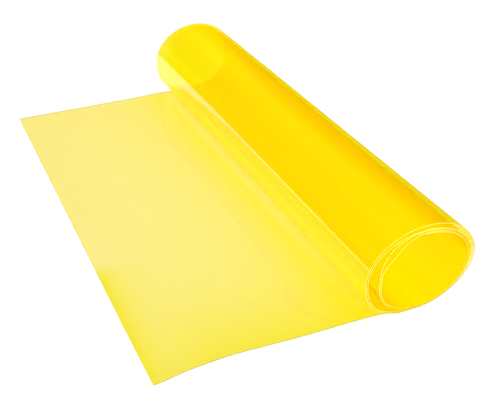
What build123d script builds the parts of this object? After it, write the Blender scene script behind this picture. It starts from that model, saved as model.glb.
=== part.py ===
from build123d import *

import math
import os

# A length of clear welding-screen film. One end lies flat on the floor and the rest is still a loose, open roll.
# Millimetres. X runs from the free edge to the roll, Y along the roll and Z up. The origin is on the floor, under
# the middle of the whole shape.

# The film
FILM_WIDTH = 1000.0
FILM_THICKNESS = 1.0

# The stretch that lies on the floor, from its free edge to the seam where the film starts to move with the roll
LAID_LENGTH = 440.0
SEAM_GAP = 0.3

# The roll's outermost turn is close to an ellipse, because the roll sags under its own weight. The roll lies a little
# askew and tapers, so each size has two values: (near end, far end).
CONTACT_FROM_FREE_EDGE = (506.5, 465.5)
HALF_WIDTH = (114.0, 103.0)
HALF_HEIGHT = (92.5, 89.5)

# The film winds inwards from the floor contact: bottom, right, top, left and bottom again. Each list says how far
# turn 0, 1, 2 and so on lies inside the outermost ellipse as it passes that side.
RIGHT_INSETS = (0.0, 8.0, 10.0, 13.0, 15.0)
TOP_INSETS = (0.0, 10.0, 12.0, 16.0, 18.5)
LEFT_INSETS = (0.0, 4.0, 28.5, 32.0)

# At the far end every turn under the outermost one passes the top this much higher.
FAR_TOP_CLOSING = 7.0

# How far each turn swells out halfway between two sides, or pulls in where the number is negative
LOWER_RIGHT_BULGES = (-2.0, 0.0, 0.0, 0.0, 0.0)
UPPER_RIGHT_BULGES = (0.0, 0.0, 0.0, 0.0, 0.0)
UPPER_LEFT_BULGES = (0.0, 0.0, 3.0, -9.0)
LOWER_LEFT_BULGES = (8.0, 8.0, 5.0, 5.0)

# The roll's weight presses the turns together at the bottom, where this is the distance from one to the next.
BOTTOM_PITCH = 1.4

# Turns, counted from the floor contact. The inner coil has come loose from the two outer turns.
OUTER_TURNS = 2.0
ALL_TURNS = 4.5
POINTS_PER_TURN = 24

NEAR, FAR = 0, 1
END_Y = (-FILM_WIDTH / 2, FILM_WIDTH / 2)
FREE_EDGE_X = -(CONTACT_FROM_FREE_EDGE[NEAR] + HALF_WIDTH[NEAR]) / 2
SEAM_X = FREE_EDGE_X + LAID_LENGTH
LAST_QUARTER = round(ALL_TURNS * 4) - 1


def side_inset(end, quarter):
    """How far the film lies inside the outermost ellipse after a whole number of quarter turns."""
    turn, side = divmod(quarter, 4)
    if side == 0:
        return BOTTOM_PITCH * turn
    closing = FAR_TOP_CLOSING if end == FAR and side == 2 and turn > 0 else 0.0
    return (RIGHT_INSETS, TOP_INSETS, LEFT_INSETS)[side - 1][turn] - closing


def bulge(quarter):
    """How far the film swells out in the middle of the quarter turn that starts there."""
    turn, side = divmod(quarter, 4)
    return (LOWER_RIGHT_BULGES, UPPER_RIGHT_BULGES, UPPER_LEFT_BULGES, LOWER_LEFT_BULGES)[side][turn]


def inset_at(end, turns):
    """The inset at any point of the winding, eased from one side to the next."""
    quarter = min(math.floor(turns * 4), LAST_QUARTER)
    angle = math.pi * (turns * 4 - quarter)
    ease = (1 - math.cos(angle)) / 2
    between_sides = (1 - ease) * side_inset(end, quarter) + ease * side_inset(end, quarter + 1)
    return between_sides - bulge(quarter) * math.sin(angle) ** 2


def winding_point(end, turns, depth):
    """A point of the winding, on the film's outer surface at depth 0 and its inner one at FILM_THICKNESS."""
    inset = inset_at(end, turns) + depth
    angle = 2 * math.pi * turns
    contact_x = FREE_EDGE_X + CONTACT_FROM_FREE_EDGE[end]
    x = contact_x + (HALF_WIDTH[end] - inset) * math.sin(angle)
    z = HALF_HEIGHT[end] - (HALF_HEIGHT[end] - inset) * math.cos(angle)
    return Vector(x, END_Y[end], z)


def winding_curve(end, start, stop, depth):
    """One surface of the film, as a smooth curve between two points of the winding."""
    steps = round((stop - start) * POINTS_PER_TURN)
    turns = [start + (stop - start) * i / steps for i in range(steps + 1)]
    return Spline([winding_point(end, turn, depth) for turn in turns])


def winding_face(end, start, stop, tab_x=None):
    """The film's cut edge at one end of the roll, with the flat tab that leads to turn 0 if tab_x is given."""
    outer = winding_curve(end, start, stop, 0.0)
    inner = winding_curve(end, start, stop, FILM_THICKNESS)
    edges = [outer, inner, Line(outer @ 1, inner @ 1)]
    if tab_x is None:
        edges.append(Line(outer @ 0, inner @ 0))
    else:
        low = Vector(tab_x, END_Y[end], 0.0)
        high = Vector(tab_x, END_Y[end], FILM_THICKNESS)
        edges += [Line(low, outer @ 0), Line(high, inner @ 0), Line(low, high)]
    return make_face(edges)


def wound_film(start, stop, tab_x=None):
    """The film between two points of the winding: straight across its width, from its near edge to its far one."""
    faces = [winding_face(end, start, stop, tab_x) for end in (NEAR, FAR)]
    return loft(faces, ruled=True)


def laid_sheet():
    """The flat stretch, from the free edge to the seam."""
    length = LAID_LENGTH - SEAM_GAP
    corner = Location((FREE_EDGE_X, END_Y[NEAR], 0.0))
    return corner * Box(length, FILM_WIDTH, FILM_THICKNESS, align=(Align.MIN, Align.MIN, Align.MIN))


NODES = {
    "laid_sheet": laid_sheet(),
    "outer_turns": wound_film(0.0, OUTER_TURNS, tab_x=SEAM_X),
    "inner_coil": wound_film(OUTER_TURNS, ALL_TURNS),
}

os.makedirs("parts", exist_ok=True)
for name, solid in NODES.items():
    export_step(solid, f"parts/{name}.step")
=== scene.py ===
"""Clear yellow welding-curtain film, partly unrolled on a pale floor. Metres, in the model's own frame."""

import math

import bmesh
import bpy
from mathutils import Matrix, Vector
from mathutils.geometry import convex_hull_2d


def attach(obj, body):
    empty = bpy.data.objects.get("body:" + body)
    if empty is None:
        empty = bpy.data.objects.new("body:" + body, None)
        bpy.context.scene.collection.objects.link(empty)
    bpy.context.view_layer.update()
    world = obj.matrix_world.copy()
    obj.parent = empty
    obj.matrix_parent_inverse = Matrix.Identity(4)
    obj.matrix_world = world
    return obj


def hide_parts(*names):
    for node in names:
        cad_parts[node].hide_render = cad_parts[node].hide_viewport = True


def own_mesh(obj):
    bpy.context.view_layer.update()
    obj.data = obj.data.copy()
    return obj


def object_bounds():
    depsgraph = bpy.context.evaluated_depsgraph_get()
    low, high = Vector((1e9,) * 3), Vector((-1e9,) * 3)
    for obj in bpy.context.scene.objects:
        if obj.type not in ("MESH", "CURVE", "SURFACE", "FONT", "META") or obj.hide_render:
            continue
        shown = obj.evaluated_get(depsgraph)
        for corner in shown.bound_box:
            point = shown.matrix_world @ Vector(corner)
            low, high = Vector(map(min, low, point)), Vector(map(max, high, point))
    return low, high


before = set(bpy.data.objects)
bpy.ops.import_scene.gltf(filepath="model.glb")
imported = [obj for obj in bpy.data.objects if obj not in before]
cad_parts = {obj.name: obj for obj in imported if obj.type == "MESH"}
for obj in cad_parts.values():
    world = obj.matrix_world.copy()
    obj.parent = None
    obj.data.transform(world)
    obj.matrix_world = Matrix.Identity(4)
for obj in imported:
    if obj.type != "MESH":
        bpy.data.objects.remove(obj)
cad_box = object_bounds()

# ------------------------------------------------------------------------------- driving dimensions

NEAR_Y, FAR_Y = cad_box[0].y, cad_box[1].y
WIDTH = FAR_Y - NEAR_Y
FREE_EDGE_X = cad_box[0].x
THICKNESS = 0.001

# The film's length in each piece, from the free edge inwards
LAID_LENGTH = 0.440
OUTER_LENGTH = 1.274
SEAM_X = FREE_EDGE_X + LAID_LENGTH

# The roll's outermost turn, (near end, far end), and how far each turn lies inside it on each side
CONTACT_X = (FREE_EDGE_X + 0.5065, FREE_EDGE_X + 0.4655)
HALF_WIDTH = (0.1140, 0.1030)
HALF_HEIGHT = (0.0925, 0.0895)
RIGHT_INSETS = (0.0, 0.008, 0.010, 0.013, 0.015)
TOP_INSETS = (0.0, 0.010, 0.012, 0.016, 0.0185)
LEFT_INSETS = (0.0, 0.004, 0.0285, 0.032)
BOTTOM_PITCH = 0.0014

# At the far end every turn under the outermost one passes the top this much higher
FAR_TOP_CLOSING = 0.007

# How far each turn swells out halfway between two sides
LOWER_RIGHT_BULGES = (-0.002, 0.0, 0.0, 0.0, 0.0)
UPPER_RIGHT_BULGES = (0.0, 0.0, 0.0, 0.0, 0.0)
UPPER_LEFT_BULGES = (0.0, 0.0, 0.003, -0.009)
LOWER_LEFT_BULGES = (0.008, 0.008, 0.005, 0.005)

OUTER_TURNS = 2.0
ALL_TURNS = 4.5
LAST_QUARTER = round(ALL_TURNS * 4) - 1

# The laid film doesn't lie quite flat. Its near edge stands off the floor, and beside the roll its far edge
# does too: (distance from the free edge, height), and how far in from that edge it is down on the floor.
NEAR_LIFTS = (
    (0.0, 0.0035), (0.06, 0.0130), (0.14, 0.0185), (0.26, 0.0136),
    (0.40, 0.0115), (0.44, 0.0085), (0.475, 0.0),
)
NEAR_LIFT_REACH = 0.17
FAR_LIFTS = ((0.0, 0.0), (0.28, 0.0), (0.36, 0.0025), (0.44, 0.0))
FAR_LIFT_REACH = 0.06

# Mesh density
SEGMENTS_PER_TURN = 96
ROWS_ACROSS = 64
LAID_SEGMENTS = 110
TAB_SEGMENTS = 14
SHARP_ANGLE = math.radians(40)

# -------------------------------------------------------------------------------- the film's looks

# Material slots on every film piece
BETWEEN_TURNS, CUT_EDGE, LAID_TOP, ROLL_SKIN = range(4)

# What one surface lets through. Along the film it varies between thin and thick, in soft bands.
FACE_TINT_THIN = (0.978, 0.944, 0.752, 1.0)
FACE_TINT_THICK = (0.978, 0.938, 0.728, 1.0)
BANDS_PER_METRE = 3.0

# The same on the roll, seen square on, at a slant, and at the last glance before its outline
FACE_TINT_WOUND = (1.0, 0.986, 0.56, 1.0)
FACE_TINT_WOUND_SLANTING = (0.987, 0.946, 0.28, 1.0)
FACE_TINT_GRAZING = (0.82, 0.74, 0.30, 1.0)
SLANT_POWER = 2.0
GRAZING_POWER = 24.0
STREAKS_PER_METRE = (12.0, 0.8, 1.0)
STREAK_SHARE = 2.2
NOISE_DETAIL = 2.0

# The roll's tint comes in from this distance along the film
WOUND_FROM, WOUND_EASE = 0.50, 0.20

# Near its near edge the laid film's tint is deepened, as painted shade: by how much at the edge, how
# quickly that fades across the film, its share at the free edge, how quickly it comes in from there, and
# where along the film it is gone.
FACE_TINT_PAINTED_SHADE = (0.96, 0.915, 0.26, 1.0)
NEAR_DEPTH, NEAR_FADE = 0.8, 0.13
NEAR_DEPTH_START, NEAR_DEPTH_EASE_IN = 0.35, 0.2
NEAR_DEPTH_END, NEAR_DEPTH_EASE_OUT = 0.60, 0.15

# The near half of its free edge gets the same painted shade: by how much, how quickly that fades, and how
# far from the near edge it goes on.
FREE_DEPTH, FREE_FADE = 0.95, 0.028
FREE_DEPTH_END, FREE_DEPTH_EASE_OUT = 0.36, 0.06

# The turns are pressed together round this point of each turn, and there their cut edges get no painted
# light
PRESSED_TURN = 0.13
PRESSED_SHARPNESS = 0.9

SHADOW_TINT = (1.0, 0.997, 0.76, 1.0)
GLOSS_TINT = (1.0, 0.98, 0.80, 1.0)
GLOSS_ROUGHNESS = 0.02
HAZE = (1.0, 0.82, 0.0, 1.0)
HAZE_SHARE = 0.022
# The cut edges' colours: olive on the laid film and deep yellow where the turns are pressed, with painted
# light: pale on the other turns at the roll's near end, and a painted glow on every edge
CUT_EDGE_LAID = (0.28, 0.24, 0.03, 1.0)
CUT_EDGE_PRESSED = (0.72, 0.56, 0.0, 1.0)
CUT_EDGE_PAINTED_LIGHT = (1.0, 0.90, 0.20, 1.0)
CUT_EDGE_ROUGHNESS = 0.3
CUT_EDGE_PAINTED_GLOW = 0.5

# The share that a surface mirrors: square on, what it gains with the slant, how steeply, and the most
MIRROR_BETWEEN_TURNS = (0.003, 3.0, 7.0, 0.06)
MIRROR_LAID = (0.02, 0.60, 2.2, 0.40)
MIRROR_ROLL = (0.0, 0.90, 1.5, 0.30)

# ---------------------------------------------------------------------------- the stage's dimensions

CAMERA_PLACE = (FREE_EDGE_X - 0.3126, NEAR_Y - 1.0273, 1.0683)
CAMERA_TURN, CAMERA_TILT, CAMERA_ROLL = 0.4370, 0.5812, 0.021
LENS_MM, SENSOR_MM = 64.94, 36.0

KEY_PLACE = (3.37, 0.0, 5.03)
KEY_TARGET = (0.1, 0.0, 0.0)
KEY_SIZE = (2.0, 7.0)
KEY_WATTS = 960
WORLD_STRENGTH = 0.5

# What each white surface throws back, and its own glow
FLOOR_ALBEDO, FLOOR_GLOW = 0.08, 0.9
PAPER_ALBEDO, PAPER_GLOW = 0.388, 0.08
# The paper's streak is painted light: it throws back less and glows more
STREAK_ALBEDO, STREAK_PAINTED_GLOW = 0.325, 0.23

# The painted streak of light on the paper: its place at y = 0, how it goes askew, its width, and where it
# comes in
STREAK_X, STREAK_SLOPE, STREAK_WIDTH = 0.097, 0.035, 0.017
STREAK_FROM_Y, STREAK_FULL_Y = NEAR_Y + 0.04, NEAR_Y + 0.34

# The stage's sheets lie just below the film, one under another
BRIGHT_FLOOR_Z = -0.0001
LAID_PAPER_Z = -0.0002
ROLL_PAPER_BELOW = 0.0001
FLOOR_Z = -0.0005
FLOOR_HALF = 40

# The bright floor that only reflections see, in front of the film, under it and behind: its reach, glow and
# colour. Under the film it ends a little before the roll's floor contact, (near end, far end).
IN_FRONT_REACH, IN_FRONT_GLOW, IN_FRONT_COLOUR = 0.33, 1.8, (1.0, 1.0, 0.22, 1.0)
UNDER_FILM_GLOW, UNDER_FILM_COLOUR = 1.65, (1.0, 1.0, 0.20, 1.0)
BEHIND_REACH, BEHIND_GLOW, BEHIND_COLOUR = 0.6, 1.4, (1.0, 0.98, 0.55, 1.0)
BEFORE_CONTACT = (0.080, 0.075)
BEHIND_PAST_SEAM = 0.05

# The studio's colours from its left side, 0, to its right side, 1
STUDIO_RADIUS = 60
STUDIO_GLOW = 0.95
STUDIO_COLOURS = (
    (0.175, (1.0, 1.0, 0.01, 1.0)),
    (0.40, (1.0, 0.75, 0.01, 1.0)),
    (0.60, (1.0, 0.75, 0.01, 1.0)),
    (0.85, (0.60, 0.46, 0.0, 1.0)),
)


# --------------------------------------------------------------------------------- the film's shape

def side_inset(quarter, across):
    """How far the film lies inside the outermost turn after a whole number of quarter turns."""
    turn, side = divmod(quarter, 4)
    if side == 0:
        return BOTTOM_PITCH * turn
    closing = FAR_TOP_CLOSING * across if side == 2 and turn > 0 else 0.0
    return (RIGHT_INSETS, TOP_INSETS, LEFT_INSETS)[side - 1][turn] - closing


def bulge(quarter):
    """How far the film swells out in the middle of the quarter turn that starts there."""
    turn, side = divmod(quarter, 4)
    return (LOWER_RIGHT_BULGES, UPPER_RIGHT_BULGES, UPPER_LEFT_BULGES, LOWER_LEFT_BULGES)[side][turn]


def inset_at(turns, across):
    """The inset at any point of the winding, eased from one side to the next."""
    quarter = min(math.floor(turns * 4 + 1e-9), LAST_QUARTER)
    angle = math.pi * (turns * 4 - quarter)
    ease = (1 - math.cos(angle)) / 2
    between_sides = (1 - ease) * side_inset(quarter, across) + ease * side_inset(quarter + 1, across)
    return between_sides - bulge(quarter) * math.sin(angle) ** 2


def mix(pair, share):
    return pair[0] * (1 - share) + pair[1] * share


def winding_point(turns, across, depth):
    """The film's outer surface at depth 0 and its inner one at THICKNESS.

    across goes from 0, near, to 1, far."""
    inset = inset_at(turns, across) + depth
    angle = 2 * math.pi * turns
    half_width, half_height = mix(HALF_WIDTH, across), mix(HALF_HEIGHT, across)
    x = mix(CONTACT_X, across) + (half_width - inset) * math.sin(angle)
    z = half_height - (half_height - inset) * math.cos(angle)
    return (x, NEAR_Y + WIDTH * across, z)


def smooth(t):
    t = min(max(t, 0.0), 1.0)
    return t * t * (3 - 2 * t)


def through(points, x):
    """The height at x of a smooth line through the points, level beyond its ends."""
    slopes = [0.0] * len(points)
    for i in range(1, len(points) - 1):
        before, here, after = points[i - 1:i + 2]
        if (here[1] - before[1]) * (after[1] - here[1]) > 0:
            slopes[i] = (after[1] - before[1]) / (after[0] - before[0])
    x = min(max(x, points[0][0]), points[-1][0])
    i = max(k for k in range(len(points) - 1) if points[k][0] <= x)
    (x0, y0), (x1, y1) = points[i], points[i + 1]
    span = x1 - x0
    t = (x - x0) / span
    up = y0 + (y1 - y0) * smooth(t)
    return up + span * t * (1 - t) * ((1 - t) * slopes[i] - t * slopes[i + 1])


def laid_height(x, across):
    """The height of the laid film's underside, from its free edge to the floor contact."""
    along = x - FREE_EDGE_X
    near = through(NEAR_LIFTS, along) * smooth(1 - across * WIDTH / NEAR_LIFT_REACH)
    far = through(FAR_LIFTS, along) * smooth(1 - (1 - across) * WIDTH / FAR_LIFT_REACH)
    return near + far


def laid_point(x, across, depth):
    return (x, NEAR_Y + WIDTH * across, laid_height(x, across) + depth)


def tab_or_turn_point(column, across, depth):
    """Columns under 0 are the flat tab: the share of its length that is left. The rest are turns."""
    if column < 0:
        x = mix(CONTACT_X, across) + column * (mix(CONTACT_X, across) - SEAM_X)
        return laid_point(x, across, depth)
    return winding_point(column, across, depth)


# -------------------------------------------------------------------- what changes along the film

def wound(along):
    """0 on the laid film and 1 on the roll."""
    return smooth((along - WOUND_FROM) / WOUND_EASE)


def painted_edge_shade(along, across):
    """How much painted shade deepens the laid film's tint near its near edge and half of its free edge,
    from 0 to 1.
    """
    from_near = across * WIDTH
    near = NEAR_DEPTH * math.exp(-from_near / NEAR_FADE)
    near *= smooth(NEAR_DEPTH_START + along / NEAR_DEPTH_EASE_IN)
    near *= smooth((NEAR_DEPTH_END - along) / NEAR_DEPTH_EASE_OUT)
    free = FREE_DEPTH * math.exp(-along / FREE_FADE)
    free *= smooth((FREE_DEPTH_END - from_near) / FREE_DEPTH_EASE_OUT)
    return 1 - (1 - near) * (1 - free)


def painted_edge_light_share(turns):
    """How much painted light the cut edges get on each turn, from 0 to 1: none where the turns are pressed
    together, at the roll's lower right side.
    """
    pressed = math.cos(2 * math.pi * (turns - PRESSED_TURN))
    return smooth(0.5 - PRESSED_SHARPNESS * pressed)


def alongs_of(points, columns, rows, start):
    """How far each column is along the film, measured on its middle row from the free edge."""
    alongs = [start]
    for c in range(1, columns):
        a, b = (Vector(points[i * rows + rows // 2]) for i in (c - 1, c))
        alongs.append(alongs[-1] + (b - a).length)
    return alongs


# ----------------------------------------------------------------------------------- the film's mesh

def spaced(start, stop, steps):
    return [start + (stop - start) * i / steps for i in range(steps + 1)]


def new_object(name, mesh):
    obj = bpy.data.objects.new(name, mesh)
    bpy.context.scene.collection.objects.link(obj)
    return obj


def film_faces(columns, rows, start_slot, slot):
    """A closed film's faces by material slot: its cut edges, and its skins in slot(column, skin).

    Where it runs on into the next piece, its end is as clear as its skins."""
    def at(skin, c, r):
        return (skin * len(columns) + c) * len(rows) + r

    faces = {i: [] for i in (BETWEEN_TURNS, CUT_EDGE, LAID_TOP, ROLL_SKIN)}
    far = len(rows) - 1
    last = len(columns) - 1
    for c in range(last):
        below, above = (faces[slot(columns[c], skin)] for skin in (0, 1))
        for r in range(far):
            below.append((at(0, c, r), at(0, c, r + 1), at(0, c + 1, r + 1), at(0, c + 1, r)))
            above.append((at(1, c, r), at(1, c + 1, r), at(1, c + 1, r + 1), at(1, c, r + 1)))
        faces[CUT_EDGE].append((at(0, c, 0), at(0, c + 1, 0), at(1, c + 1, 0), at(1, c, 0)))
        faces[CUT_EDGE].append((at(0, c, far), at(1, c, far), at(1, c + 1, far), at(0, c + 1, far)))
    for r in range(far):
        faces[start_slot].append((at(0, 0, r), at(1, 0, r), at(1, 0, r + 1), at(0, 0, r + 1)))
        faces[BETWEEN_TURNS].append(
            (at(0, last, r), at(0, last, r + 1), at(1, last, r + 1), at(1, last, r))
        )
    return faces


def add_flat_uv(mesh, alongs, rows):
    """Metres along the film and across it."""
    uv = mesh.uv_layers.new(name="flat").data
    for loop in mesh.loops:
        column, row = divmod(loop.vertex_index % (len(alongs) * len(rows)), len(rows))
        uv[loop.index].uv = (alongs[column], rows[row] * WIDTH)


def add_attribute(mesh, name, values):
    """The value of each column and row, on both skins."""
    mesh.attributes.new(name, "FLOAT", "POINT").data.foreach_set("value", values * 2)


def film_mesh(name, columns, point, start_along, start_slot, slot):
    """A thin closed film through point(column, across, depth)."""
    rows = spaced(0.0, 1.0, ROWS_ACROSS)
    vertices = [point(c, r, d) for d in (0.0, THICKNESS) for c in columns for r in rows]
    faces = film_faces(columns, rows, start_slot, slot)
    mesh = bpy.data.meshes.new(name)
    mesh.from_pydata(vertices, [], [face for i in faces for face in faces[i]])
    mesh.polygons.foreach_set("material_index", [i for i in faces for face in faces[i]])
    alongs = alongs_of(vertices, len(columns), len(rows), start_along)
    add_flat_uv(mesh, alongs, rows)
    add_attribute(mesh, "painted_edge_shade", [painted_edge_shade(along, row) for along in alongs for row in rows])
    add_attribute(mesh, "wound", [wound(along) for along in alongs for row in rows])
    # Painted light on the cut edges: only on the roll, none where the turns are pressed, fading from the
    # near end to none at the far end
    pale = [wound(along) * painted_edge_light_share(column) for along, column in zip(alongs, columns)]
    add_attribute(mesh, "edge_light", [light * (1 - row) for light in pale for row in rows])
    mesh.shade_smooth()
    mesh.set_sharp_from_angle(angle=SHARP_ANGLE)
    return new_object(name, mesh)


# ---------------------------------------------------------------------------------------- materials

def new_material(name):
    material = bpy.data.materials.new(name)
    material.use_nodes = True
    tree = material.node_tree
    tree.nodes.clear()
    return material, tree


def add(tree, kind, **inputs):
    """A node with its inputs set by name, or by number as i0: sockets as links, anything else as values."""
    node = tree.nodes.new(kind)
    for key, value in inputs.items():
        numbered = key[0] == "i" and key[1:].isdigit()
        socket = node.inputs[int(key[1:])] if numbered else node.inputs[key.replace("_", " ")]
        if isinstance(value, bpy.types.NodeSocket):
            tree.links.new(value, socket)
        else:
            socket.default_value = value
    return node


def math_node(tree, operation, a, b=0.0, c=0.0, clamp=False):
    node = add(tree, "ShaderNodeMath", i0=a, i1=b, i2=c)
    node.operation = operation
    node.use_clamp = clamp
    return node.outputs[0]


def mix_colour(tree, factor, a, b):
    node = tree.nodes.new("ShaderNodeMix")
    node.data_type = "RGBA"
    for index, value in ((0, factor), (6, a), (7, b)):
        if isinstance(value, bpy.types.NodeSocket):
            tree.links.new(value, node.inputs[index])
        else:
            node.inputs[index].default_value = value
    return node.outputs[2]


def mix_shader(tree, share, a, b):
    return add(tree, "ShaderNodeMixShader", i0=share, i1=a, i2=b).outputs[0]


def attribute(tree, name):
    node = tree.nodes.new("ShaderNodeAttribute")
    node.attribute_name = name
    return node.outputs["Fac"]


def position(tree):
    place = tree.nodes.new("ShaderNodeNewGeometry").outputs["Position"]
    return add(tree, "ShaderNodeSeparateXYZ", Vector=place).outputs


def film_tint(tree, facing):
    """The colour that a surface lets through. facing goes from 0, square on, to 1, seen from its side."""
    flat = tree.nodes.new("ShaderNodeTexCoord").outputs["UV"]
    bands = add(tree, "ShaderNodeTexNoise", Vector=flat, Scale=BANDS_PER_METRE, Detail=NOISE_DETAIL)
    laid = mix_colour(tree, bands.outputs["Fac"], FACE_TINT_THIN, FACE_TINT_THICK)
    stretched = add(tree, "ShaderNodeVectorMath", i0=flat, i1=STREAKS_PER_METRE)
    stretched.operation = "MULTIPLY"
    streaks = add(tree, "ShaderNodeTexNoise", Vector=stretched.outputs[0], Scale=1.0, Detail=NOISE_DETAIL)
    above_average = math_node(tree, "SUBTRACT", streaks.outputs["Fac"], 0.5)
    uneven = math_node(tree, "MULTIPLY", above_average, STREAK_SHARE)
    slant = math_node(tree, "ADD", math_node(tree, "POWER", facing, SLANT_POWER), uneven, clamp=True)
    roll = mix_colour(tree, slant, FACE_TINT_WOUND, FACE_TINT_WOUND_SLANTING)
    roll = mix_colour(tree, math_node(tree, "POWER", facing, GRAZING_POWER), roll, FACE_TINT_GRAZING)
    tint = mix_colour(tree, attribute(tree, "wound"), laid, roll)
    # Painted shade: a deeper tint beside the laid film's near edge and the near half of its free edge
    return mix_colour(tree, attribute(tree, "painted_edge_shade"), tint, FACE_TINT_PAINTED_SHADE)


def film_material(name, square_on, gain, steepness, most):
    """Clear yellow film. Lamp light passes it with its colour, and is not lost to the gloss or the haze."""
    material, tree = new_material(name)
    facing = add(tree, "ShaderNodeLayerWeight", Blend=0.5).outputs["Facing"]
    clear = add(tree, "ShaderNodeBsdfTransparent", Color=film_tint(tree, facing)).outputs[0]
    haze = add(tree, "ShaderNodeBsdfDiffuse", Color=HAZE).outputs[0]
    gloss = add(tree, "ShaderNodeBsdfGlossy", Color=GLOSS_TINT, Roughness=GLOSS_ROUGHNESS).outputs[0]
    by_slant = math_node(tree, "POWER", facing, steepness)
    mirror = math_node(tree, "MINIMUM", math_node(tree, "MULTIPLY_ADD", by_slant, gain, square_on), most)
    seen = mix_shader(tree, mirror, mix_shader(tree, HAZE_SHARE, clear, haze), gloss)
    lamp = tree.nodes.new("ShaderNodeLightPath").outputs["Is Shadow Ray"]
    lit = add(tree, "ShaderNodeBsdfTransparent", Color=SHADOW_TINT).outputs[0]
    add(tree, "ShaderNodeOutputMaterial", Surface=mix_shader(tree, lamp, seen, lit))
    return material


def cut_edge_material():
    """Olive on the laid film and deep yellow on the roll, with painted light: pale on the turns that lie
    apart at its near end, and a painted glow of its own colour all over.
    """
    material, tree = new_material("cut_edge")
    deep = mix_colour(tree, attribute(tree, "wound"), CUT_EDGE_LAID, CUT_EDGE_PRESSED)
    colour = mix_colour(tree, attribute(tree, "edge_light"), deep, CUT_EDGE_PAINTED_LIGHT)
    # The emission is a painted glow: the cut edge is no lamp
    body = add(
        tree, "ShaderNodeBsdfPrincipled", Base_Color=colour, Roughness=CUT_EDGE_ROUGHNESS,
        Emission_Color=colour, Emission_Strength=CUT_EDGE_PAINTED_GLOW,
    )
    add(tree, "ShaderNodeOutputMaterial", Surface=body.outputs[0])
    return material


def white_glow(tree, albedo, glow, colour=(1.0, 1.0, 1.0, 1.0)):
    """A white surface that throws back albedo and glows in a colour of its own."""
    diffuse = add(tree, "ShaderNodeBsdfDiffuse", Color=(albedo, albedo, albedo, 1.0)).outputs[0]
    emission = add(tree, "ShaderNodeEmission", Color=colour, Strength=glow).outputs[0]
    return add(tree, "ShaderNodeAddShader", i0=diffuse, i1=emission).outputs[0]


def floor_material():
    material, tree = new_material("floor_white")
    add(tree, "ShaderNodeOutputMaterial", Surface=white_glow(tree, FLOOR_ALBEDO, FLOOR_GLOW))
    return material


def paper_material():
    """White paper. In a soft streak beside the roll it is painted with light: it throws back less of the
    lamp's light and glows more, standing in for the light that the roll's flank throws back onto the floor."""
    material, tree = new_material("paper_white")
    plain = white_glow(tree, PAPER_ALBEDO, PAPER_GLOW)
    # A painted streak of light
    streak = white_glow(tree, STREAK_ALBEDO, STREAK_PAINTED_GLOW)
    x, y, _ = position(tree)
    askew = math_node(tree, "MULTIPLY_ADD", y, STREAK_SLOPE, -STREAK_X)
    off = math_node(tree, "DIVIDE", math_node(tree, "ADD", x, askew), STREAK_WIDTH)
    squared = math_node(tree, "MULTIPLY", off, off)
    hump = math_node(tree, "EXPONENT", math_node(tree, "MULTIPLY", squared, -1.0))
    come_in = add(tree, "ShaderNodeMapRange", Value=y, From_Min=STREAK_FROM_Y, From_Max=STREAK_FULL_Y)
    share = math_node(tree, "MULTIPLY", hump, come_in.outputs["Result"])
    add(tree, "ShaderNodeOutputMaterial", Surface=mix_shader(tree, share, plain, streak))
    return material


def bright_material(name, glow, colour):
    material, tree = new_material(name)
    add(tree, "ShaderNodeOutputMaterial", Surface=white_glow(tree, 0.0, glow, colour))
    return material


def studio_material():
    """A dim glow, whose colour goes over from left to right."""
    material, tree = new_material("warm_studio")
    x = position(tree)["X"]
    across = add(tree, "ShaderNodeMapRange", Value=x, From_Min=-STUDIO_RADIUS, From_Max=STUDIO_RADIUS)
    ramp = add(tree, "ShaderNodeValToRGB", Fac=across.outputs["Result"])
    ramp.color_ramp.interpolation = "EASE"
    for place, colour in STUDIO_COLOURS[1:-1]:
        ramp.color_ramp.elements.new(place)
    for element, (place, colour) in zip(ramp.color_ramp.elements, STUDIO_COLOURS):
        element.position, element.color = place, colour
    glow = add(tree, "ShaderNodeEmission", Color=ramp.outputs["Color"], Strength=STUDIO_GLOW)
    add(tree, "ShaderNodeOutputMaterial", Surface=glow.outputs[0])
    return material


# ------------------------------------------------------------------------------------ floor and studio

def flat_object(name, vertices, faces):
    mesh = bpy.data.meshes.new(name)
    mesh.from_pydata(vertices, [], faces)
    return new_object(name, mesh)


def patch(name, corners, z):
    return flat_object(name, [(x, y, z) for x, y in corners], [(0, 1, 2, 3)])


def rectangle(name, low, high, z):
    return patch(name, (low, (high[0], low[1]), high, (low[0], high[1])), z)


def below(point):
    """Where the camera's line of sight through the point meets the paper."""
    eye = Vector(CAMERA_PLACE)
    ray = Vector(point) - eye
    return eye + ray * ((LAID_PAPER_Z - eye.z) / ray.z)


def laid_paper():
    """White paper under the laid film, cut to the outline that the film shows the camera."""
    xs = spaced(FREE_EDGE_X, CONTACT_X[0], 60)
    near = [below(laid_point(x, 0.0, 0.0)) for x in xs]
    far = [below(laid_point(min(x, CONTACT_X[1]), 1.0, 0.0)) for x in xs]
    quads = [(i, i + 1, len(xs) + i + 1, len(xs) + i) for i in range(len(xs) - 1)]
    return flat_object("laid_paper", near + far, quads)


def roll_paper():
    """White paper under the roll, cut to the outline that the roll shows the camera."""
    turns = spaced(0.0, 1.0, 120)
    rims = [below(winding_point(turn, across, 0.0)) for across in (0.0, 1.0) for turn in turns]
    hull = convex_hull_2d([(p.x, p.y) for p in rims])
    outline = [rims[i] - Vector((0, 0, ROLL_PAPER_BELOW)) for i in hull]
    return flat_object("roll_paper", outline, [tuple(range(len(outline)))])


def make_floor():
    floor = rectangle("floor", (-FLOOR_HALF, -FLOOR_HALF), (FLOOR_HALF, FLOOR_HALF), FLOOR_Z)
    floor.data.materials.append(floor_material())
    paper_white = paper_material()
    papers = [laid_paper(), roll_paper()]
    for paper in papers:
        paper.data.materials.append(paper_white)
    for obj in [floor] + papers:
        obj.visible_glossy = False


def only_in_reflections(obj, material):
    """Lets nothing but reflections see the object."""
    obj.data.materials.append(material)
    for flag in ("visible_camera", "visible_diffuse", "visible_shadow", "visible_transmission"):
        setattr(obj, flag, False)


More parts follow.
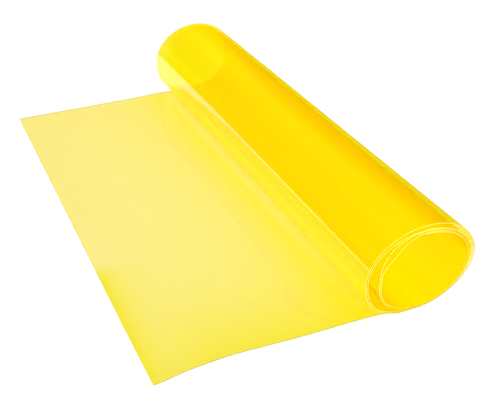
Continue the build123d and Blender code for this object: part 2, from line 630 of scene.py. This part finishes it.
def bright_floor():
    """The floor as the film mirrors it, under the laid film, in front of it and behind it."""
    corners = (
        (FREE_EDGE_X, NEAR_Y), (CONTACT_X[0] - BEFORE_CONTACT[0], NEAR_Y),
        (CONTACT_X[1] - BEFORE_CONTACT[1], FAR_Y), (FREE_EDGE_X, FAR_Y),
    )
    front_x = FREE_EDGE_X - IN_FRONT_REACH
    behind_corner = (SEAM_X + BEHIND_PAST_SEAM, FAR_Y + BEHIND_REACH)
    under_film = patch("bright_floor_under_film", corners, BRIGHT_FLOOR_Z)
    in_front = rectangle("bright_floor_in_front", (front_x, NEAR_Y), (FREE_EDGE_X, FAR_Y), BRIGHT_FLOOR_Z)
    behind = rectangle("bright_floor_behind", (front_x, FAR_Y), behind_corner, BRIGHT_FLOOR_Z)
    only_in_reflections(under_film, bright_material(under_film.name, UNDER_FILM_GLOW, UNDER_FILM_COLOUR))
    only_in_reflections(in_front, bright_material(in_front.name, IN_FRONT_GLOW, IN_FRONT_COLOUR))
    only_in_reflections(behind, bright_material(behind.name, BEHIND_GLOW, BEHIND_COLOUR))


def surroundings():
    """A dim warm studio all round, which only reflections see."""
    mesh = bpy.data.meshes.new("warm_studio")
    shell = bmesh.new()
    bmesh.ops.create_icosphere(shell, subdivisions=3, radius=STUDIO_RADIUS)
    shell.to_mesh(mesh)
    shell.free()
    only_in_reflections(new_object("warm_studio", mesh), studio_material())


# ------------------------------------------------------------------------------------- light and camera

def make_key_light():
    """A long lamp, high on the right."""
    data = bpy.data.lights.new("key", "AREA")
    data.shape = "RECTANGLE"
    data.size, data.size_y = KEY_SIZE
    data.energy = KEY_WATTS
    light = new_object("key", data)
    light.location = KEY_PLACE
    light.rotation_euler = (Vector(KEY_TARGET) - Vector(KEY_PLACE)).to_track_quat("-Z", "Y").to_euler()
    light.visible_glossy = False
    light.visible_camera = False


def make_world():
    world = bpy.data.worlds.new("studio")
    world.use_nodes = True
    background = world.node_tree.nodes["Background"]
    background.inputs["Color"].default_value = (1, 1, 1, 1)
    background.inputs["Strength"].default_value = WORLD_STRENGTH
    bpy.context.scene.world = world
    world.cycles_visibility.glossy = False


def make_camera():
    """A camera turned right, tilted down and rolled a little, as it looks over the near left corner."""
    turn, tilt = CAMERA_TURN, CAMERA_TILT
    forward = Vector((math.sin(turn) * math.cos(tilt), math.cos(turn) * math.cos(tilt), -math.sin(tilt)))
    level = Vector((math.cos(turn), -math.sin(turn), 0.0))
    upward = level.cross(forward)
    right = level * math.cos(CAMERA_ROLL) + upward * math.sin(CAMERA_ROLL)
    up = upward * math.cos(CAMERA_ROLL) - level * math.sin(CAMERA_ROLL)
    data = bpy.data.cameras.new("camera")
    data.lens = LENS_MM
    data.sensor_width = SENSOR_MM
    camera = new_object("camera", data)
    camera.matrix_world = Matrix((right, up, -forward)).transposed().to_4x4()
    camera.location = CAMERA_PLACE
    bpy.context.scene.camera = camera


def make_stage():
    make_camera()
    make_floor()
    bright_floor()
    surroundings()
    make_key_light()
    make_world()
    scene = bpy.context.scene
    scene.view_settings.view_transform = "Standard"
    scene.cycles.transparent_max_bounces = 128
    scene.cycles.max_bounces = 32
    scene.cycles.glossy_bounces = 24


# ---------------------------------------------------------------------------------------- the pieces

def finish_piece(obj, body, node):
    for material in materials:
        obj.data.materials.append(material)
    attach(obj, body)
    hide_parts(node)


def laid_slot(x, skin):
    return LAID_TOP if skin == 1 else BETWEEN_TURNS


def outer_slot(column, skin):
    """The tab's upper skin and the outermost turn's outer one are in the open."""
    if column < 0:
        return laid_slot(column, skin)
    return ROLL_SKIN if skin == 0 and column < 1 else BETWEEN_TURNS


def inner_slot(turns, skin):
    return BETWEEN_TURNS


def make_laid_film():
    columns = spaced(FREE_EDGE_X, SEAM_X, LAID_SEGMENTS)
    film = film_mesh("film_laid", columns, laid_point, 0.0, CUT_EDGE, laid_slot)
    finish_piece(film, "laid", "laid_sheet")
    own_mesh(film)


def make_outer_turns():
    tab = spaced(-1.0, 0.0, TAB_SEGMENTS)[:-1]
    columns = tab + spaced(0.0, OUTER_TURNS, int(OUTER_TURNS * SEGMENTS_PER_TURN))
    film = film_mesh("film_outer_turns", columns, tab_or_turn_point, LAID_LENGTH, BETWEEN_TURNS, outer_slot)
    finish_piece(film, "roll", "outer_turns")


def make_inner_coil():
    columns = spaced(OUTER_TURNS, ALL_TURNS, int((ALL_TURNS - OUTER_TURNS) * SEGMENTS_PER_TURN))
    start = LAID_LENGTH + OUTER_LENGTH
    film = film_mesh("film_inner_coil", columns, winding_point, start, BETWEEN_TURNS, inner_slot)
    finish_piece(film, "roll", "inner_coil")


make_stage()
materials = (
    film_material("clear_yellow_pvc", *MIRROR_BETWEEN_TURNS),
    cut_edge_material(),
    film_material("clear_yellow_pvc_laid", *MIRROR_LAID),
    film_material("clear_yellow_pvc_skin", *MIRROR_ROLL),
)
make_laid_film()
make_outer_turns()
make_inner_coil()
